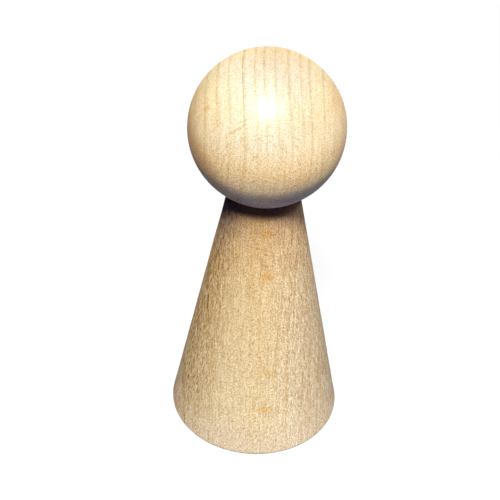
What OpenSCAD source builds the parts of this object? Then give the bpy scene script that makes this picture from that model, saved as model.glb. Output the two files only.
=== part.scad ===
// Peg doll of plain turned beech: a ball head, dowelled and glued onto a cone body.
// The doll stands on the plane z = 0 and its axis is the z axis.

/* [Head] */
// Diameter of the ball
head_d = 30; // [26:0.5:36]

/* [Body] */
// Height of the whole doll, from the foot to the crown
doll_h = 85; // [75:1:110]
// Diameter of the cone's foot
foot_d = 37; // [32:0.5:50]
// Diameter of the cone's rim, where the cone meets the ball
neck_d = 14; // [12:0.5:18]
// Radius of the sanded edge round the foot
foot_edge_r = 0.6; // [0.2:0.1:1.5]
// Height of the sanded edge round the neck's rim
rim_edge_h = 0.3; // [0.1:0.05:0.6]

/* [Dowel] */
// Diameter of the dowel over its crests
dowel_d = 6; // [5:0.5:8]
// Length of the dowel
dowel_l = 25; // [20:1:32]
// Length of dowel that sits inside the ball
dowel_in_head = 12; // [8:0.5:14]
// Chamfer on both ends of the dowel
dowel_chamfer = 0.8; // [0.3:0.1:1.2]
// Number of glue flutes pressed along the dowel
flute_count = 12; // [6:1:14]
// Radius of the round flutes
flute_r = 0.4; // [0.3:0.05:0.5]
// Depth of the flutes
flute_depth = 0.25; // [0.1:0.05:0.3]

/* [Bores and glue] */
// Thickness of the glue round the dowel and under the ball
glue_t = 0.1; // [0.05:0.05:0.2]
// Distance that the glue stays back from the neck's rim
glue_setback = 0.8; // [0.5:0.1:1.5]
// Free depth in each bore past the end of the dowel
bore_pocket = 1; // [0.5:0.1:2]
// Point angle of the drill that made the bores, in degrees
drill_angle = 118; // [90:1:140]

/* [Hidden] */

$fn = 96;
// Steps in the rounding of the foot's edge
edge_steps = 6;
// Run of every cut past the face that it opens
overrun = 1;

head_r = head_d / 2;
foot_r = foot_d / 2;
neck_r = neck_d / 2;
dowel_r = dowel_d / 2;
bore_r = dowel_r + glue_t;
bore_tip_h = bore_r / tan(drill_angle / 2);

// The ball's centre and lowest point, and the height at which its surface has the neck's radius
head_z = doll_h - head_r;
seat_z = head_z - head_r;
rim_z = head_z - sqrt(head_r ^ 2 - neck_r ^ 2);

// The dowel's two ends
dowel_top_z = seat_z + dowel_in_head;
dowel_foot_z = dowel_top_z - dowel_l;

// Lean of the cone's side from upright, for a side that runs from the rim onto the foot's round edge
side_run = foot_r - foot_edge_r - neck_r;
side_rise = rim_z - foot_edge_r;
side_lean = atan2(side_run, side_rise) + asin(foot_edge_r / norm([side_run, side_rise]));

body_colour = "burlywood";
head_colour = "wheat";
dowel_colour = "tan";
glue_colour = "lemonchiffon";

// The round edge of the foot, from the flat base up to the cone's side
function foot_edge() = [
    for (step = [0 : edge_steps])
        let (turn = -90 + (90 + side_lean) * step / edge_steps)
            [foot_r - foot_edge_r + foot_edge_r * cos(turn), foot_edge_r + foot_edge_r * sin(turn)]
];

// Blind hole for the dowel, from its mouth at the origin straight up to its drill point
module dowel_bore(depth) {
    translate([0, 0, -overrun])
        cylinder(r = bore_r, h = depth + overrun);
    translate([0, 0, depth])
        cylinder(r1 = bore_r, r2 = 0, h = bore_tip_h);
}

// The ball, grown by a layer as thick as given
module ball(layer = 0) {
    translate([0, 0, head_z])
        sphere(r = head_r + layer);
}

module head_ball() {
    color(head_colour)
        difference() {
            ball();
            translate([0, 0, seat_z])
                dowel_bore(dowel_in_head + bore_pocket);
        }
}

// Cone with a flat foot, a dished seat for the ball and a bore for the dowel
module body_cone() {
    color(body_colour)
        difference() {
            rotate_extrude()
                polygon([
                    [0, 0],
                    each foot_edge(),
                    [neck_r + rim_edge_h * tan(side_lean), rim_z - rim_edge_h],
                    [neck_r - rim_edge_h, rim_z],
                    [0, rim_z]
                ]);
            ball(glue_t);
            translate([0, 0, rim_z])
                mirror([0, 0, 1])
                    dowel_bore(rim_z - dowel_foot_z + bore_pocket);
        }
}

// Dowel with chamfered ends and straight flutes that let the glue rise
module dowel_pin() {
    color(dowel_colour)
        translate([0, 0, dowel_foot_z])
            difference() {
                rotate_extrude()
                    polygon([
                        [0, 0],
                        [dowel_r - dowel_chamfer, 0],
                        [dowel_r, dowel_chamfer],
                        [dowel_r, dowel_l - dowel_chamfer],
                        [dowel_r - dowel_chamfer, dowel_l],
                        [0, dowel_l]
                    ]);
                for (flute = [0 : flute_count - 1])
                    rotate([0, 0, 360 * flute / flute_count])
                        translate([dowel_r + flute_r - flute_depth, 0, -overrun])
                            cylinder(r = flute_r, h = dowel_l + 2 * overrun);
            }
}

// Cured glue: a sleeve round the dowel, filling its flutes, and a thin dish under the ball
module glue_film() {
    color(glue_colour)
        difference() {
            union() {
                translate([0, 0, dowel_foot_z])
                    cylinder(r = bore_r, h = dowel_l);
                intersection() {
                    difference() {
                        ball(glue_t);
                        ball();
                    }
                    translate([0, 0, seat_z - overrun])
                        cylinder(r = neck_r - glue_setback, h = head_z - seat_z);
                }
            }
            dowel_pin();
        }
}

body_cone();
head_ball();
dowel_pin();
glue_film();
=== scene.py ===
"""Looks of a plain turned beech peg doll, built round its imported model.

A ball head is dowelled and glued onto a cone body. Lengths are in millimetres until a mesh is made, and
also where a material reads a place. The doll's front looks towards -y, and left is where x is low.
"""
import math

import bpy
import numpy as np
from mathutils import Matrix, Vector


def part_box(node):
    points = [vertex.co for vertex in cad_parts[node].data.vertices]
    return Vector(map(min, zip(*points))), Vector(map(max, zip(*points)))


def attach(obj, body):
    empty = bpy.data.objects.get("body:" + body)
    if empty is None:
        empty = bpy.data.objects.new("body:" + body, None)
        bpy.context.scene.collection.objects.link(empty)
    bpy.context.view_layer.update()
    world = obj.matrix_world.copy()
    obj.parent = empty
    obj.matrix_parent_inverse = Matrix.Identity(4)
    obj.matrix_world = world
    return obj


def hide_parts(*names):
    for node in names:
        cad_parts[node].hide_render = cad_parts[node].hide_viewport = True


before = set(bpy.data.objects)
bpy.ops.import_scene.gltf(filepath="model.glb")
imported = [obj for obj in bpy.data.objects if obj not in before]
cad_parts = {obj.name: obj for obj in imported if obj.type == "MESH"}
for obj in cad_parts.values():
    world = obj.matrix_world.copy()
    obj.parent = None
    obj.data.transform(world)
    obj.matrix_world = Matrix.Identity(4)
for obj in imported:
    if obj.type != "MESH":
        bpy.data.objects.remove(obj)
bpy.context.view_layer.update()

MM = 0.001

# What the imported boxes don't tell about the turned pieces
NECK_R = 7.0
RIM_EDGE = 0.3
RIM_SHOULDER = 0.25
FOOT_EDGE_R = 0.6
GLUE_T = 0.1
BORE_R = 3.1
BORE_POCKET = 1.0
DRILL_ANGLE = 118

# How finely the turned pieces are cut: steps round the axis, and from row to row along each face
TURN_STEPS = 320
ROW_MM = 0.32
BORE_ROW_MM = 1.0
TIP_ROW_MM = 0.5
EDGE_ROW_MM = 0.1
BASE_ROW_MM = 0.6
SHARP_DEGREES = 40

# How far the turned pieces are out of round, and over what length their unevenness fades out
HEAD_OVAL = 0.03
BODY_OVAL = 0.04
CROWN_FADE = 4
FOOT_FADE = 3
# Depth below the ball's and the cone's surface within which a point still counts as outside
HEAD_SKIN = 0.01
BODY_SKIN = 1.2

# The camera, where the photograph was taken from
CAMERA_PLACE = (-0.4, -163.27, 164.69)
CAMERA_DOWN = 37.106
CAMERA_TURN = -0.647
CAMERA_ROLL = 2.36
CAMERA_NEAR_M = 0.01
FOCAL_PX = 999.4
PHOTO_WIDTH_PX = 500
SENSOR_MM = 36

# Lamps: degrees round from the front towards +x, degrees up, distance and width in metres, level, and
# whether the lamp shows in the gloss
LAMPS = {
    "key lamp": (-4, 56, 1.0, 0.22, 1.61, True),
    "side lamp": (70, 50, 1.2, 0.4, 0.28, False),
    "back lamp": (180, 8, 1.2, 0.3, 0.5, False),
}
FLOOR_HALF_M = 3.0
# Share of plain glow in the floor's white near the doll, and from where to where, in metres, it rises
# to the whole and the shadow is gone
NEAR_GLOW = 0.9
SHADOW_FADE_M = (0.05, 0.35)
# The floor as it shows and in the light that it throws back, and the weak light from all round
FLOOR_WHITE = (0.95, 0.95, 0.95, 1)
FLOOR_BOUNCE = (0.055, 0.08, 0.26, 1)
FILL_COLOUR = (0.60, 0.72, 1.0, 1)
FILL_STRENGTH = 0.05
PURE_WHITE = (1, 1, 1, 1)

# Constants of the materials' shaders
DIFFUSE_ROUGHNESS = 0.07
SATIN_COAT = {"Coat Weight": 0.282, "Coat Roughness": 0.43, "Coat IOR": 2.5}

# Growth rings of the ball: how far each dark line lies across the grain, and how strong it is
HEAD_RINGS = [
    (-13.6, 0.6), (-11.8, 0.9), (-9.9, 0.9), (-7.9, 0.55), (-5.5, 1.0), (-3.4, 0.55), (-1.8, 0.75),
    (0.2, 0.6), (2.5, 0.6), (4.7, 0.45), (6.4, 0.8), (9.0, 0.75), (11.2, 0.5), (13.2, 0.5),
]
# The points of one dark line: distance across the grain from its place, and share of its strength
RING_SHAPE = ((-0.12, 0.0), (0.0, 1.0), (0.13, 0.5), (0.6, 0.0))

# Fine marks on the ball and pale flecks on the cone: x, z, turn in radians, half length, half height,
# and strength
HEAD_MARKS = (
    (-5.3, 76.5, 0.63, 2.1, 0.26, 0.6),
    (-6.8, 73.6, 1.2, 0.6, 0.3, 0.6),
    (-10.8, 77.5, 0.9, 0.9, 0.3, 0.5),
)
BODY_FLECKS = (
    (1.0, 51.2, 0.0, 1.2, 0.8, 0.9),
    (1.4, 42.2, 0.0, 1.8, 1.0, 0.8),
    (2.4, 20.5, 0.0, 1.5, 1.4, 0.45),
    (2.4, 11.5, 0.0, 1.8, 1.0, 0.9),
)

# Specks to a millimetre, and how high growth rings stand up beside them
SPECK_SCALE = 4.4
LINE_HEIGHT = 0.5
# The height whose painted shades the whole back of the ball takes
HEAD_LEVEL = 74.0


def box_mm(node):
    """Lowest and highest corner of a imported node, in millimetres."""
    low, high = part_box(node)
    return np.array(low) / MM, np.array(high) / MM


body_low, body_high = box_mm("body_cone")
head_low, head_high = box_mm("head_ball")
dowel_low, dowel_high = box_mm("dowel_pin")

foot_r = (body_high[0] - body_low[0]) / 2
rim_z = body_high[2]
head_r = (head_high[0] - head_low[0]) / 2
head_z = head_high[2] - head_r
tip_rise = BORE_R / math.tan(math.radians(DRILL_ANGLE / 2))


def straight(start, stop, step=ROW_MM):
    """Points at even steps along the straight line from start to stop."""
    start, stop = np.array(start, float), np.array(stop, float)
    count = max(1, math.ceil(np.linalg.norm(stop - start) / step))
    share = np.linspace(0, 1, count + 1)[:, None]
    return start * (1 - share) + stop * share


def arc(centre, radius, start, stop, step=ROW_MM):
    """Points of a circle: the centre plus the radius turned evenly from one angle to the other."""
    count = max(4, math.ceil(math.radians(abs(stop - start)) * radius / step))
    turn = np.radians(np.linspace(start, stop, count + 1))
    return np.stack([centre[0] + radius * np.cos(turn), centre[1] + radius * np.sin(turn)], 1)


def joined(*runs):
    """One profile from runs that meet end to end, with each meeting point kept once."""
    return np.concatenate([runs[0]] + [run[1:] for run in runs[1:]])


def linked(thing):
    """An object, now in the scene."""
    bpy.context.scene.collection.objects.link(thing)
    return thing


def turned_solid(name, profile, relief):
    """A solid turned about the z axis.

    A profile point (r, z) becomes the circle (r cos a, r sin a, z). Each point of it then moves out
    along the profile's normal by relief(a, r, z). The profile runs clockwise with its two ends on the
    axis, and each end becomes one point.
    """
    turn = np.arange(TURN_STEPS) * 2 * np.pi / TURN_STEPS
    along = np.gradient(profile, axis=0)
    along /= np.linalg.norm(along, axis=1, keepdims=True)
    angle, radius = np.meshgrid(turn, profile[1:-1, 0])
    height = np.repeat(profile[1:-1, 1:2], TURN_STEPS, axis=1)
    rise = relief(angle, radius, height)
    radius = radius - along[1:-1, 1:2] * rise
    height = height + along[1:-1, 0:1] * rise
    rings = np.stack([radius * np.cos(angle), radius * np.sin(angle), height], -1).reshape(-1, 3)
    points = np.concatenate([[[0, 0, profile[0, 1]]], rings, [[0, 0, profile[-1, 1]]]]) * MM

    rows = len(profile) - 2
    index = 1 + np.arange(rows * TURN_STEPS).reshape(rows, TURN_STEPS)
    beside = np.roll(index, -1, axis=1)
    quads = np.stack([index[:-1], index[1:], beside[1:], beside[:-1]], -1).reshape(-1, 4)
    first = np.zeros(TURN_STEPS, int)
    last = np.full(TURN_STEPS, len(points) - 1)
    first_fan = np.stack([first, index[0], beside[0]], -1)
    last_fan = np.stack([index[-1], last, beside[-1]], -1)

    mesh = bpy.data.meshes.new(name)
    mesh.from_pydata(points.tolist(), [], quads.tolist() + first_fan.tolist() + last_fan.tolist())
    mesh.polygons.foreach_set("use_smooth", np.ones(len(mesh.polygons), bool))
    mesh.set_sharp_from_angle(angle=math.radians(SHARP_DEGREES))
    return linked(bpy.data.objects.new(name, mesh))


def waves(angle, height, seed, count, most_turns, shortest, depth):
    """Sum of count gentle waves: depth times cos(k a + 2 pi z / length + start), shared out evenly."""
    draw = np.random.default_rng(seed)
    total = np.zeros_like(angle)
    for _ in range(count):
        k = draw.integers(0, most_turns + 1)
        length = shortest * (1 + 3 * draw.random())
        total += np.cos(k * angle + 2 * np.pi * height / length + 2 * np.pi * draw.random())
    return total * depth / count


def head_relief(angle, radius, height):
    """Unevenness of the sanded ball: it fades to nothing at the crown and inside the bore."""
    outside = (np.hypot(radius, height - head_z) > head_r - HEAD_SKIN) & (radius > BORE_R)
    fade = np.clip(radius / CROWN_FADE, 0, 1) * outside
    oval = -HEAD_OVAL * np.cos(2 * angle)
    ripple = waves(angle, height, seed=11, count=8, most_turns=5, shortest=9.0, depth=0.05)
    return fade * (oval + ripple)


def body_relief(angle, radius, height):
    """Unevenness of the turned cone: slightly oval, faintly waved, and none on the foot or inside."""
    side_r = NECK_R + (foot_r - NECK_R) * (rim_z - height) / rim_z
    outside = (radius > side_r - BODY_SKIN) & (height > FOOT_EDGE_R)
    fade = np.clip((height - FOOT_EDGE_R) / FOOT_FADE, 0, 1) * outside
    oval = -BODY_OVAL * np.cos(2 * angle)
    ripple = waves(angle, height, seed=23, count=10, most_turns=4, shortest=5.0, depth=0.05)
    return fade * (oval + ripple)


def make_head():
    """The ball from its crown down to the bore's mouth, then up the bore to its drilled point."""
    mouth = -90 + math.degrees(math.asin(BORE_R / head_r))
    mouth_z = head_z - math.sqrt(head_r ** 2 - BORE_R ** 2)
    bore_end = dowel_high[2] + BORE_POCKET
    profile = joined(
        arc((0, head_z), head_r, 90, mouth),
        straight((BORE_R, mouth_z), (BORE_R, bore_end), BORE_ROW_MM),
        straight((BORE_R, bore_end), (0, bore_end + tip_rise), TIP_ROW_MM),
    )
    profile[0, 0] = 0
    return turned_solid("turned_head", profile, head_relief)


def make_body():
    """The cone: up its bore, over the dished seat and the rim, down the side and in under the foot."""
    bore_end = dowel_low[2] - BORE_POCKET
    dish_r = head_r + GLUE_T
    dish_in = math.degrees(math.asin(BORE_R / dish_r)) - 90
    dish_out = math.degrees(math.asin((NECK_R - RIM_EDGE) / dish_r)) - 90
    dish = arc((0, head_z), dish_r, dish_in, dish_out)
    run, rise = foot_r - FOOT_EDGE_R - NECK_R, rim_z - FOOT_EDGE_R
    lean = math.degrees(math.atan2(run, rise) + math.asin(FOOT_EDGE_R / math.hypot(run, rise)))
    foot = arc((foot_r - FOOT_EDGE_R, FOOT_EDGE_R), FOOT_EDGE_R, lean, -90, EDGE_ROW_MM)
    rim_low = (NECK_R + RIM_EDGE * math.tan(math.radians(lean)), rim_z - RIM_EDGE)
    rim_mid = (NECK_R - RIM_SHOULDER * RIM_EDGE, rim_z - RIM_SHOULDER * RIM_EDGE)
    profile = joined(
        straight((0, bore_end - tip_rise), (BORE_R, bore_end), TIP_ROW_MM),
        straight((BORE_R, bore_end), dish[0], BORE_ROW_MM),
        dish,
        straight(dish[-1], rim_mid, EDGE_ROW_MM),
        straight(rim_mid, rim_low, EDGE_ROW_MM),
        straight(rim_low, foot[0]),
        foot,
        straight(foot[-1], (0, 0), BASE_ROW_MM),
    )
    return turned_solid("turned_body", profile, body_relief)


def plug(tree, socket, source):
    """Feeds a socket from another socket, or sets its plain value."""
    if isinstance(source, bpy.types.NodeSocket):
        tree.links.new(source, socket)
    else:
        socket.default_value = source


def add(tree, kind, inputs=None, **settings):
    """A new node with its settings, and its inputs fed by name or number."""
    node = tree.nodes.new(kind)
    for key, setting in settings.items():
        setattr(node, key, setting)
    for key, source in (inputs or {}).items():
        plug(tree, node.inputs[key], source)
    return node


def reckoned(tree, operation, *values):
    """Output of a Math node on the given values."""
    return add(tree, "ShaderNodeMath", dict(enumerate(values)), operation=operation).outputs[0]


def times(tree, first, *others):
    """The values multiplied with each other, from the first on."""
    for other in others:
        first = reckoned(tree, "MULTIPLY", first, other)
    return first


def plus(tree, first, second):
    """The sum of two values."""
    return reckoned(tree, "ADD", first, second)


def minus(tree, first, second):
    """The first value less the second."""
    return reckoned(tree, "SUBTRACT", first, second)


def vectored(tree, operation, *values):
    """Output vector of a Vector Math node on the given values."""
    return add(tree, "ShaderNodeVectorMath", dict(enumerate(values)), operation=operation).outputs[0]


def measured(tree, operation, *values):
    """Output number of a Vector Math node on the given values."""
    node = add(tree, "ShaderNodeVectorMath", dict(enumerate(values)), operation=operation)
    return node.outputs["Value"]


def parts(tree, vector):
    """The x, y and z of a vector."""
    return add(tree, "ShaderNodeSeparateXYZ", {0: vector}).outputs


def combined(tree, *values):
    """The vector with the given x, y and z."""
    return add(tree, "ShaderNodeCombineXYZ", dict(enumerate(values))).outputs[0]


def ranged(tree, value, low, high, to_low=0.0, to_high=1.0, step="SMOOTHSTEP"):
    """Step of a value from one range to another, smooth unless told otherwise, and held past its ends."""
    inputs = {"Value": value, "From Min": low, "From Max": high, "To Min": to_low, "To Max": to_high}
    return add(tree, "ShaderNodeMapRange", inputs, interpolation_type=step).outputs[0]


def ramped(tree, value, low, high, to_low=0.0, to_high=1.0):
    """Straight step of a value from one range to another, held past its ends."""
    return ranged(tree, value, low, high, to_low, to_high, "LINEAR")


def rising(tree, value, low, high):
    """Smooth mask that is 0 up to the low value and 1 from the high value on."""
    return ranged(tree, value, low, high)


def falling(tree, value, low, high):
    """Smooth mask that is 1 up to the low value and 0 from the high value on."""
    return ranged(tree, value, low, high, 1.0, 0.0)


def noise(tree, vector, scale=1.0, detail=2.0, roughness=0.5):
    """Grey noise between 0 and 1, around one half."""
    inputs = {"Vector": vector, "Scale": scale, "Detail": detail, "Roughness": roughness}
    return add(tree, "ShaderNodeTexNoise", inputs).outputs["Fac"]


def tinted(tree, base, *coats):
    """The base colour under coats of (tint, mask): each multiplies by its tint where its mask is 1."""
    colour = (*base, 1)
    for tint, mask in coats:
        inputs = {0: mask, 6: colour, 7: (*tint, 1)}
        node = add(tree, "ShaderNodeMix", data_type="RGBA", blend_type="MULTIPLY")
        for key, source in inputs.items():
            plug(tree, node.inputs[key], source)
        colour = node.outputs[2]
    return colour


def new_group(name, inputs, outputs):
    """An empty shader group. inputs and outputs map a socket's name to its kind and first value."""
    group = bpy.data.node_groups.new(name, "ShaderNodeTree")
    kinds = {"value": "NodeSocketFloat", "vector": "NodeSocketVector"}
    for label, (kind, first) in inputs.items():
        socket = group.interface.new_socket(name=label, in_out="INPUT", socket_type=kinds[kind])
        if first is not None:
            socket.default_value = first
    for label, kind in outputs.items():
        group.interface.new_socket(name=label, in_out="OUTPUT", socket_type=kinds[kind])
    start = group.nodes.new("NodeGroupInput")
    end = group.nodes.new("NodeGroupOutput")
    return group, start.outputs, end.inputs


def placed(tree, group, **inputs):
    """Outputs of a group's node in a tree, with its inputs fed by name. Underscores stand for spaces."""
    named = {key.replace("_", " "): source for key, source in inputs.items()}
    return add(tree, "ShaderNodeGroup", named, node_tree=group).outputs


def across_group():
    """How far a point lies across the growth rings, in mm: circles about a far pith that leans."""
    tree, given, result = new_group(
        "across the rings",
        {"Vector": ("vector", None), "Pith": ("value", 60.0), "Lean": ("value", 0.04),
         "Middle": ("value", 70.0), "Wander": ("value", 0.3)},
        {"Across": "value"},
    )
    slow = vectored(tree, "MULTIPLY", given["Vector"], (0.12, 0.12, 0.04))
    stray = times(tree, minus(tree, noise(tree, slow, detail=3), 0.5), given["Wander"])
    x, y, z = parts(tree, given["Vector"])
    tilt = times(tree, minus(tree, z, given["Middle"]), given["Lean"])
    upright = plus(tree, minus(tree, x, tilt), stray)
    to_pith = minus(tree, given["Pith"], upright)
    squares = plus(tree, times(tree, to_pith, to_pith), times(tree, y, y))
    plug(tree, result["Across"], minus(tree, given["Pith"], reckoned(tree, "SQRT", squares)))
    return tree


def yearly_group():
    """Uneven yearly lines: each darkens slowly and ends sharply, with a strength of its own."""
    tree, given, result = new_group(
        "yearly lines",
        {"Across": ("value", 0.0), "Spacing": ("value", 2.0), "Unevenness": ("value", 0.5)},
        {"Line": "value"},
    )
    count = reckoned(tree, "DIVIDE", given["Across"], given["Spacing"])
    slow = {"W": count, "Scale": 0.8, "Detail": 1.0}
    drift = add(tree, "ShaderNodeTexNoise", slow, noise_dimensions="1D").outputs["Fac"]
    year = plus(tree, count, times(tree, drift, given["Unevenness"]))
    phase = reckoned(tree, "FRACT", times(tree, year, -1.0))
    line = times(tree, reckoned(tree, "POWER", phase, 5.0), falling(tree, phase, 0.92, 1.0))
    number = {"W": reckoned(tree, "FLOOR", year)}
    own = add(tree, "ShaderNodeTexWhiteNoise", number, noise_dimensions="1D").outputs["Value"]
    plug(tree, result["Line"], times(tree, line, ranged(tree, own, 0.0, 1.0, 0.4, 1.6)))
    return tree


def fibres_group():
    """Streaks along the grain, from noise that is thin across a face, deep into it and long along z.

    Faces that look along x take the noise that is thin along y, and all other faces the one thin
    along x. Width and Length are in mm, and Depth counts widths.
    """
    tree, given, result = new_group(
        "fibres",
        {"Vector": ("vector", None), "Side": ("value", 0.0), "Width": ("value", 0.3),
         "Length": ("value", 2.0), "Depth": ("value", 7.0)},
        {"Streak": "value"},
    )
    width, length = given["Width"], given["Length"]
    deep = times(tree, width, given["Depth"])
    wider = times(tree, width, 1.8)
    front, flank = (
        noise(tree, vectored(tree, "DIVIDE", given["Vector"], size), detail=3, roughness=0.62)
        for size in (combined(tree, width, deep, length), combined(tree, deep, wider, length))
    )
    mix = add(tree, "ShaderNodeMix", {0: given["Side"], 2: front, 3: flank}).outputs[0]
    plug(tree, result["Streak"], mix)
    return tree


def scattered_group(name, cell, half):
    """Scattered grains: one flat or long ellipsoid near the middle of each cell of a stretched foam.

    The mask is 1 inside and fades out from 0.6 of the way to the grain's edge. cell and half are the
    sizes of a cell and of half a grain along x, y and z, in mm.
    """
    tree, given, result = new_group(
        name, {"Vector": ("vector", None), "Fullness": ("value", 0.6)}, {"Mask": "value"}
    )
    vector = vectored(tree, "DIVIDE", given["Vector"], cell)
    foam = add(tree, "ShaderNodeTexVoronoi", {"Vector": vector, "Scale": 1.0}).outputs
    offset = vectored(tree, "SUBTRACT", vector, foam["Position"])
    share = vectored(tree, "MULTIPLY", offset, tuple(c / h for c, h in zip(cell, half)))
    inside = falling(tree, measured(tree, "LENGTH", share), 0.6, 1.0)
    luck = add(tree, "ShaderNodeSeparateColor", {0: foam["Color"]}).outputs[0]
    there = reckoned(tree, "LESS_THAN", luck, given["Fullness"])
    plug(tree, result["Mask"], times(tree, inside, there))
    return tree


def fleck_group():
    """One fleck or fine mark on the front: a soft ellipse in the xz plane, turned about y."""
    tree, given, result = new_group(
        "front fleck",
        {"Vector": ("vector", None), "Place": ("vector", None), "Turn": ("value", 0.0),
         "Half Length": ("value", 1.0), "Half Height": ("value", 0.5), "Strength": ("value", 1.0)},
        {"Mask": "value"},
    )
    moved = vectored(tree, "SUBTRACT", given["Vector"], given["Place"])
    about_y = {"Vector": moved, "Axis": (0.0, 1.0, 0.0), "Angle": given["Turn"]}
    x, y, z = parts(tree, add(tree, "ShaderNodeVectorRotate", about_y).outputs[0])

    def far(way, half, power):
        """How far out a point is along one way: 1 at the fleck's edge, if it is straight out."""
        share = reckoned(tree, "ABSOLUTE", reckoned(tree, "DIVIDE", way, half))
        return reckoned(tree, "POWER", share, power)

    spread = plus(tree, far(x, given["Half Length"], 3.0), far(z, given["Half Height"], 2.0))
    edge = plus(tree, spread, noise(tree, given["Vector"], scale=2.2))
    front = reckoned(tree, "LESS_THAN", y, 0.0)
    plug(tree, result["Mask"], times(tree, falling(tree, edge, 0.75, 1.6), front, given["Strength"]))
    return tree


across = across_group()
yearly_lines = yearly_group()
fibres = fibres_group()
pores = scattered_group("pores", (0.34, 0.34, 1.6), (0.08, 0.08, 0.5))
rays = scattered_group("rays", (2.4, 0.5, 2.6), (1.0, 0.11, 1.15))
dashes = scattered_group("dashes", (0.56, 2.2, 3.0), (0.13, 1.0, 1.3))
front_fleck = fleck_group()


def ring_ramp(tree, share, rings):
    """A ramp that rises sharply to each dark line and fades slowly past it."""
    ramp = add(tree, "ShaderNodeValToRGB", {"Fac": share})
    stops = ramp.color_ramp.elements
    while len(stops) > 1:
        stops.remove(stops[-1])
    stops[0].position = 0.0
    stops[0].color = (0, 0, 0, 1)
    for place, strength in rings:
        for offset, dark in RING_SHAPE:
            stop = stops.new((place + offset + head_r) / (2 * head_r))
            stop.color = (dark * strength,) * 3 + (1,)
    return ramp.outputs["Color"]


def head_lines(tree, distance):
    """The ball's own growth rings, half in each of two ramps, because one ramp holds few stops."""
    share = ramped(tree, distance, -head_r, head_r)
    half = len(HEAD_RINGS) // 2
    halves = HEAD_RINGS[:half], HEAD_RINGS[half:]
    return plus(tree, *(ring_ramp(tree, share, rings) for rings in halves))


def fleck_masks(tree, vector, flecks):
    """The mask of each fleck or fine mark in a table."""
    return [
        placed(tree, front_fleck, Vector=vector, Place=(x, 0.0, z), Turn=turn, Half_Length=length,
               Half_Height=height, Strength=strength)["Mask"]
        for x, z, turn, length, height, strength in flecks
    ]


def end_grain_of(tree, facing):
    """1 where the face looks along z, so that the fibres end in it."""
    return reckoned(tree, "POWER", facing["Z"], 8.0)


def flank_of(tree, facing):
    """1 where the face looks along x, so that it cuts along the growth rings."""
    return rising(tree, facing["X"], 0.70, 0.88)


def surface_height(tree, streak, line, speck, pore):
    """Height of the surface for the bump: fibres, rings and specks stand up, and pores go in."""
    grain = plus(tree, streak, times(tree, line, LINE_HEIGHT))
    return minus(tree, plus(tree, grain, speck), pore)


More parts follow.
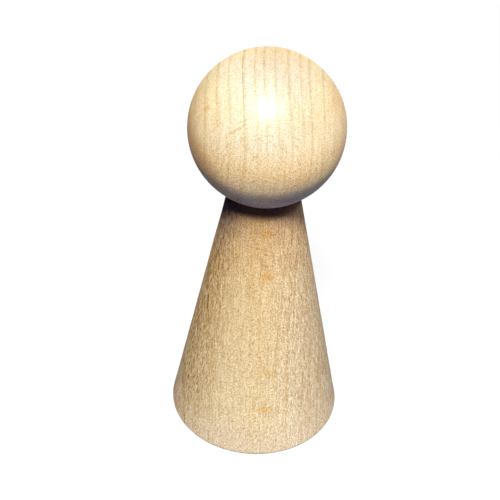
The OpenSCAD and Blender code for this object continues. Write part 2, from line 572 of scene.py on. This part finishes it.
def head_wood(tree, vector, facing):
    """Satin beech of the ball: its own growth rings, fibres, specks, pores, ray flecks and fine marks.

    Painted light and shade run up and across it. climb is the height on the front, and HEAD_LEVEL on the
    back, so the painted shades that follow it are even there.
    """
    end_grain, flank = end_grain_of(tree, facing), flank_of(tree, facing)
    x, y, z = parts(tree, vector)
    front = falling(tree, y, -3.0, 8.0)
    climb = plus(tree, times(tree, minus(tree, z, HEAD_LEVEL), front), HEAD_LEVEL)

    distance = placed(
        tree, across, Vector=vector, Middle=head_z, Pith=60.0, Lean=0.04, Wander=0.35
    )["Across"]
    patchy = noise(tree, vectored(tree, "MULTIPLY", vector, (0.5, 0.5, 0.16)))
    line = times(
        tree,
        head_lines(tree, distance),
        ranged(tree, patchy, 0.32, 0.6, 0.5, 1.0),
        ranged(tree, z, 73.0, 84.5, 0.43, 0.97),
    )
    streak = placed(tree, fibres, Vector=vector, Side=flank, Width=0.18, Length=1.6)["Streak"]
    broad = placed(tree, fibres, Vector=vector, Side=flank, Width=0.36, Length=18.0)["Streak"]
    speck = noise(tree, vector, SPECK_SCALE, detail=1)
    pore = placed(tree, pores, Vector=vector, Fullness=0.55)["Mask"]
    ray = placed(tree, rays, Vector=vector, Fullness=0.5)["Mask"]

    # Masks of painted light and shade: a deeper, more golden colour lower on the front, a paler patch
    # round the key lamp's highlight, and darker shade at the upper right and the far left
    golden = times(tree, falling(tree, climb, 67.0, 75.5), ranged(tree, z, 60.5, 63.0, 0.2, 1.0))
    to_painted_highlight = measured(tree, "DISTANCE", vector, (0.0, -11.2, 80.0))
    painted_shade_upper_right = times(tree, rising(tree, climb, 72.0, 79.0), ramped(tree, x, -4.0, 5.0))
    slant = plus(tree, x, times(tree, minus(tree, climb, head_z), 0.8))
    painted_shade_left_cheek = times(tree, falling(tree, slant, -13.0, -8.5), rising(tree, x, -13.2, -11.6))
    # Painted core shadow under the front of the ball
    x_squared = times(tree, x, x)
    under = times(
        tree,
        falling(tree, reckoned(tree, "MULTIPLY_ADD", x_squared, -0.012, z), 63.0, 65.0),
        rising(tree, reckoned(tree, "MULTIPLY_ADD", x_squared, 0.05, z), 60.8, 62.6),
        front,
    )
    # Painted shade at the limbs, darker at the right and the upper left
    painted_shade_right_limb = times(tree, rising(tree, x, 9.8, 11.6), rising(tree, z, 76.5, 78.5))
    painted_shade_left_limb = times(tree, falling(tree, x, -14.0, -11.6), rising(tree, z, 71.0, 74.5))
    streaky = ranged(tree, climb, 65.0, 70.0, 0.5, 1.0)
    speckled = times(tree, ramped(tree, speck, 0.44, 0.70), ranged(tree, climb, 66.0, 74.0, 1.4, 0.7))
    marks = fleck_masks(tree, vector, HEAD_MARKS)

    colour = tinted(
        tree, (1.0, 0.80, 0.62),
        # Painted light and shade up the ball and round its left side: paler and less red round the key
        # lamp's highlight and towards the crown, deeper and more golden lower on the front, darker at the
        # upper right and at the far left
        ((1.0, 1.0, 0.86), falling(tree, climb, 79.0, 83.5)),
        ((1.0, 0.97, 0.74), golden),
        ((0.90, 0.97, 0.97), rising(tree, climb, 68.0, 75.0)),
        ((0.945, 1.0, 1.0), rising(tree, climb, 77.0, 81.5)),
        ((0.82, 0.90, 1.0), falling(tree, to_painted_highlight, 5.0, 13.0)),
        ((0.90, 0.885, 0.865), painted_shade_upper_right),
        ((0.71, 0.58, 0.45), ramped(tree, slant, -13.5, -9.5, 1.0, 0.0)),
        ((0.91, 0.84, 0.69), falling(tree, x, -14.5, -7.5)),
        ((0.98, 0.96, 0.90), painted_shade_left_cheek),
        # Growth rings, then painted shade: a core shadow under the front of the ball, and darker limbs on
        # the right and the upper left
        ((0.56, 0.45, 0.22), line),
        ((0.62, 0.65, 0.80), under),
        ((1.0, 0.93, 0.85), rising(tree, x, 11.4, 13.2)),
        ((0.97, 0.98, 0.95), rising(tree, x, 12.6, 14.2)),
        ((0.97, 0.90, 0.82), painted_shade_right_limb),
        ((0.96, 0.92, 0.83), painted_shade_left_limb),
        # Fine grain
        ((0.96, 0.90, 0.79), times(tree, rising(tree, broad, 0.44, 0.62), streaky)),
        ((0.95, 0.90, 0.83), times(tree, ramped(tree, streak, 0.3, 0.7), streaky)),
        ((0.70, 0.52, 0.32), speckled),
        ((0.72, 0.62, 0.50), times(tree, pore, 0.7)),
        ((0.86, 0.74, 0.56), times(tree, ray, 0.5)),
        *(((0.80, 0.62, 0.42), mark) for mark in marks),
        ((0.80, 0.75, 0.71), end_grain),
    )
    roughness = ramped(tree, streak, 0.2, 0.8, 0.34, 0.46)
    return colour, roughness, surface_height(tree, times(tree, streak, 0.5), line, speck, pore)


def body_wood(tree, vector, facing):
    """Bare beech of the cone: growth rings, fibres, specks, pores, ray flecks and four pale flecks.

    side_x and side_y say which way a point lies round the cone. The left side is dark with thin streaks.
    The ball's shadow is painted over the neck and on the left shoulder.
    """
    end_grain, flank = end_grain_of(tree, facing), flank_of(tree, facing)
    across_face = facing["X"]
    height = parts(tree, vector)["Z"]
    round_axis = vectored(tree, "NORMALIZE", vectored(tree, "MULTIPLY", vector, (1.0, 1.0, 0.0)))
    side_x, side_y, _ = parts(tree, round_axis)
    left = falling(tree, side_x, -0.95, -0.35)

    distance = placed(
        tree, across, Vector=vector, Middle=30.0, Pith=70.0, Lean=0.01, Wander=0.5
    )["Across"]
    line = placed(tree, yearly_lines, Across=distance, Spacing=1.9, Unevenness=0.8)["Line"]
    hair = placed(tree, yearly_lines, Across=distance, Spacing=0.95, Unevenness=0.7)["Line"]
    streak = placed(tree, fibres, Vector=vector, Side=flank, Width=0.2, Length=3.5)["Streak"]
    broad = placed(tree, fibres, Vector=vector, Side=flank, Width=0.7, Length=30.0)["Streak"]
    thin = placed(tree, fibres, Vector=vector, Width=0.25, Length=5.0, Depth=1.0)["Streak"]
    speck = noise(tree, vector, SPECK_SCALE, detail=1)
    pore = placed(tree, pores, Vector=vector, Fullness=0.8)["Mask"]
    ray = placed(tree, rays, Vector=vector, Fullness=0.7)["Mask"]
    dash = placed(tree, dashes, Vector=vector, Fullness=0.75)["Mask"]

    outer = ranged(tree, across_face, 0.3, 0.8, 0.6, 0.75)
    outer = reckoned(tree, "MAXIMUM", outer, times(tree, left, 0.92))
    low_pale = ranged(tree, height, 0.0, 25.0, 0.8, 1.15)
    streaked = times(tree, ramped(tree, streak, 0.38, 0.68), outer, low_pale)
    sideways = times(
        tree,
        reckoned(tree, "MAXIMUM", left, ranged(tree, side_x, 0.15, 0.5, 0.06, 0.5)),
        ranged(tree, side_y, 0.1, 0.6, 1.0, 0.45),
        ranged(tree, across_face, 0.93, 0.98, 1.0, 0.6),
    )
    clear_foot = ranged(tree, height, 2.0, 14.0, 0.2, 1.0)
    thin_streaks = times(tree, ramped(tree, thin, 0.48, 0.60), sideways, clear_foot)
    hairs = times(tree, hair, times(tree, rising(tree, thin, 0.36, 0.56), sideways))
    golden_side = times(tree, falling(tree, side_x, 0.05, 0.6), ranged(tree, height, 0.0, 12.0, 0.5, 1.0))
    right_foot = times(tree, rising(tree, side_x, 0.4, 0.7), falling(tree, height, 14.0, 26.0))
    left_foot = times(tree, left, falling(tree, height, 3.0, 14.0))
    # Painted shadow of the ball: over the neck, on the left of the neck, and on the left shoulder
    neck = rising(tree, height, 46.5, 53.5)
    painted_shadow_left_neck = times(tree, falling(tree, side_x, -0.85, -0.1), neck)
    painted_shadow_left_shoulder = times(tree, falling(tree, side_x, -0.95, -0.55), rising(tree, height, 41.0, 48.0))
    ray_strength = times(
        tree, ramped(tree, across_face, 0.86, 0.97, 0.12, 0.65), ramped(tree, left, 0.0, 1.0, 0.5, 1.0)
    )
    dash_strength = times(
        tree, falling(tree, across_face, 0.92, 0.97), ramped(tree, left, 0.0, 1.0, 0.1, 0.5)
    )
    flecks = fleck_masks(tree, vector, BODY_FLECKS)

    colour = tinted(
        tree, (0.99, 0.875, 0.63),
        # Rings, a tone that darkens and browns up the cone, and the ball's painted shadow over the neck,
        # darkest in the crease under the ball
        ((0.94, 0.88, 0.79), rising(tree, height, 3.0, 46.0)),
        ((0.93, 0.86, 0.76), line),
        ((0.96, 0.92, 0.84), rising(tree, broad, 0.48, 0.64)),
        # The ball's painted shadow: from the shoulder up, over the neck, and deepest in the crease under
        # it
        ((0.92, 0.86, 0.82), rising(tree, height, 38.0, 47.0)),
        ((0.82, 0.76, 0.72), neck),
        ((0.46, 0.36, 0.32), rising(tree, height, 53.4, 55.2)),
        # Streaks, the tones of the two sides, and the ball's painted shadow on the left of the neck and
        # shoulder
        ((0.68, 0.57, 0.44), streaked),
        ((1.0, 0.955, 0.82), golden_side),
        ((1.07, 1.05, 0.98), left),
        ((1.12, 1.13, 1.12), rising(tree, side_x, 0.15, 0.5)),
        ((0.96, 0.93, 0.89), right_foot),
        ((0.965, 0.965, 0.97), left_foot),
        ((0.985, 0.97, 0.99), falling(tree, height, 4.0, 12.0)),
        ((0.48, 0.33, 0.17), thin_streaks),
        ((0.62, 0.46, 0.28), hairs),
        # Painted shadow of the ball on the left of the neck and shoulder
        ((0.66, 0.68, 0.84), painted_shadow_left_neck),
        ((0.76, 0.81, 1.0), painted_shadow_left_shoulder),
        # Fine grain
        ((0.50, 0.41, 0.30), ramped(tree, speck, 0.36, 0.74)),
        ((0.60, 0.48, 0.37), times(tree, pore, 0.35)),
        ((0.46, 0.32, 0.20), times(tree, ray, ray_strength)),
        ((0.50, 0.34, 0.21), times(tree, dash, dash_strength)),
        *(((0.98, 0.84, 0.58), fleck) for fleck in flecks),
        ((0.84, 0.72, 0.58), end_grain),
    )
    # Some tints brighten, so the last one keeps the colour at white or below
    colour.node.clamp_result = True
    roughness = ramped(tree, streak, 0.2, 0.8, 0.42, 0.54)
    return colour, roughness, surface_height(tree, streak, line, speck, pore)


def dowel_wood(tree, vector, facing):
    """Plain milled beech of the dowel, darker and rougher than what shows."""
    distance = placed(tree, across, Vector=vector, Pith=30.0, Lean=0.0, Wander=0.2)["Across"]
    line = placed(tree, yearly_lines, Across=distance, Spacing=1.6, Unevenness=0.6)["Line"]
    streak = placed(tree, fibres, Vector=vector, Width=0.2, Length=2.5)["Streak"]
    pore = placed(tree, pores, Vector=vector, Fullness=0.8)["Mask"]
    colour = tinted(
        tree, (0.66, 0.47, 0.29),
        ((0.90, 0.80, 0.68), line),
        ((0.82, 0.74, 0.64), rising(tree, streak, 0.46, 0.66)),
        ((0.72, 0.60, 0.48), pore),
        ((0.80, 0.68, 0.56), end_grain_of(tree, facing)),
    )
    return colour, ramped(tree, streak, 0.2, 0.8, 0.55, 0.7), streak


def cured_glue(tree, vector, _):
    """Cream glue, cloudy and with fine bubbles."""
    cloud = noise(tree, vector, scale=0.7, detail=3)
    bubble = noise(tree, vector, scale=4.0, detail=1)
    colour = tinted(tree, (0.86, 0.80, 0.60), ((0.9, 0.82, 0.66), rising(tree, cloud, 0.4, 0.65)))
    return colour, ramped(tree, cloud, 0.3, 0.7, 0.3, 0.5), bubble


def finished(name, recipe, gloss, bump_mm, coat=None):
    """A new material with the given gloss and depth of bump, under a coat if one is given.

    Its recipe takes the place in mm and how far the face turns towards each axis, and gives the colour,
    the roughness and the height of the bump.
    """
    material = bpy.data.materials.new(name)
    material.use_nodes = True
    tree = material.node_tree
    shader = tree.nodes["Principled BSDF"]
    constants = {"Specular IOR Level": gloss, "Diffuse Roughness": DIFFUSE_ROUGHNESS, **(coat or {})}
    for label, constant in constants.items():
        shader.inputs[label].default_value = constant
    where = add(tree, "ShaderNodeTexCoord").outputs
    vector = vectored(tree, "MULTIPLY", where["Object"], (1 / MM, 1 / MM, 1 / MM))
    facing = parts(tree, vectored(tree, "ABSOLUTE", where["Normal"]))
    colour, roughness, height = recipe(tree, vector, facing)
    plug(tree, shader.inputs["Base Color"], colour)
    plug(tree, shader.inputs["Roughness"], roughness)
    bump = add(tree, "ShaderNodeBump", {"Height": height, "Strength": 1.0, "Distance": bump_mm * MM})
    plug(tree, shader.inputs["Normal"], bump.outputs[0])
    return material


def seen_rays(tree):
    """1 for the rays that show a thing itself: from the camera, off a gloss or through glass."""
    path = add(tree, "ShaderNodeLightPath").outputs
    seen = reckoned(tree, "MAXIMUM", path["Is Camera Ray"], path["Is Glossy Ray"])
    return reckoned(tree, "MAXIMUM", seen, path["Is Transmission Ray"])


def pale_floor():
    """White to the camera but for the doll's soft shadow, and a deep blue in the light it throws back."""
    material = bpy.data.materials.new("pale floor")
    material.use_nodes = True
    tree = material.node_tree
    tree.nodes.remove(tree.nodes["Principled BSDF"])
    bounce = add(tree, "ShaderNodeBsdfDiffuse", {"Color": FLOOR_BOUNCE})
    white = add(tree, "ShaderNodeBsdfDiffuse", {"Color": FLOOR_WHITE})
    glow = add(tree, "ShaderNodeEmission", {"Color": PURE_WHITE, "Strength": 1.0})
    far = measured(tree, "LENGTH", add(tree, "ShaderNodeTexCoord").outputs["Object"])
    share = ranged(tree, far, *SHADOW_FADE_M, NEAR_GLOW, 1.0)
    pale = add(tree, "ShaderNodeMixShader", {0: share, 1: white.outputs[0], 2: glow.outputs[0]})
    sides = {0: seen_rays(tree), 1: bounce.outputs[0], 2: pale.outputs[0]}
    mix = add(tree, "ShaderNodeMixShader", sides)
    plug(tree, tree.nodes["Material Output"].inputs["Surface"], mix.outputs[0])
    return material


def make_floor():
    """One large square under the doll."""
    half = FLOOR_HALF_M
    corners = [(-half, -half, 0), (half, -half, 0), (half, half, 0), (-half, half, 0)]
    mesh = bpy.data.meshes.new("floor")
    mesh.from_pydata(corners, [], [(0, 1, 2, 3)])
    mesh.materials.append(pale_floor())
    floor = linked(bpy.data.objects.new("floor", mesh))


def make_world():
    """White where it is seen, and a weak cool light on the doll."""
    world = bpy.data.worlds.new("studio")
    bpy.context.scene.world = world
    world.use_nodes = True
    tree = world.node_tree
    tree.nodes.clear()
    fill = add(tree, "ShaderNodeBackground", {"Color": FILL_COLOUR, "Strength": FILL_STRENGTH})
    white = add(tree, "ShaderNodeBackground", {"Color": PURE_WHITE, "Strength": 1.0})
    sides = {0: seen_rays(tree), 1: fill.outputs[0], 2: white.outputs[0]}
    mix = add(tree, "ShaderNodeMixShader", sides)
    add(tree, "ShaderNodeOutputWorld", {"Surface": mix.outputs[0]})


def soft_lamp(name, turn, up, distance, width, level, in_gloss):
    """A round lamp aimed at the head. A level of 1 shows a face square to it as bright as its colour."""
    lamp = bpy.data.lights.new(name, "AREA")
    lamp.shape = "DISK"
    lamp.size = width
    lamp.energy = level * math.pi ** 2 * distance ** 2
    around, above = math.radians(turn), math.radians(up)
    level_run = math.cos(above)
    way = Vector((math.sin(around) * level_run, -math.cos(around) * level_run, math.sin(above)))
    holder = linked(bpy.data.objects.new(name, lamp))
    holder.location = Vector((0, 0, head_z * MM)) + way * distance
    holder.rotation_euler = way.to_track_quat("Z", "Y").to_euler()
    holder.visible_camera = False
    holder.visible_glossy = in_gloss


def make_camera():
    """The photograph's camera: it looks down, turned and rolled a little, with the given focal length."""
    down, turn, roll = (math.radians(a) for a in (CAMERA_DOWN, CAMERA_TURN, CAMERA_ROLL))
    ahead = Vector((math.sin(turn) * math.cos(down), math.cos(turn) * math.cos(down), -math.sin(down)))
    side = Vector((math.cos(turn), -math.sin(turn), 0))
    above = side.cross(ahead)
    right = math.cos(roll) * side + math.sin(roll) * above
    up = -math.sin(roll) * side + math.cos(roll) * above
    camera = linked(bpy.data.objects.new("camera", bpy.data.cameras.new("camera")))
    camera.data.sensor_width = SENSOR_MM
    camera.data.lens = FOCAL_PX * SENSOR_MM / PHOTO_WIDTH_PX
    camera.data.clip_start = CAMERA_NEAR_M
    place = Matrix((right, up, -ahead)).transposed().to_4x4()
    place.translation = Vector(CAMERA_PLACE) * MM
    camera.matrix_world = place
    bpy.context.scene.camera = camera


def dress(piece, material, node):
    """Gives a piece its material and its body, and hides the imported node that it stands for."""
    piece.data.materials.append(material)
    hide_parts(node)
    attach(piece, "root")


beech_head = finished("beech head", head_wood, gloss=0.0, bump_mm=0.012, coat=SATIN_COAT)
beech_body = finished("beech body", body_wood, gloss=0.0, bump_mm=0.02)
beech_dowel = finished("beech dowel", dowel_wood, gloss=0.2, bump_mm=0.03)
cream_glue = finished("cured glue", cured_glue, gloss=0.5, bump_mm=0.02)

make_camera()
dress(make_head(), beech_head, "head_ball")
dress(make_body(), beech_body, "body_cone")
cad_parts["dowel_pin"].material_slots[0].material = beech_dowel
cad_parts["glue_film"].material_slots[0].material = cream_glue

make_floor()
make_world()
for lamp_name, settings in LAMPS.items():
    soft_lamp(lamp_name, *settings)
bpy.context.scene.view_settings.view_transform = "Standard"
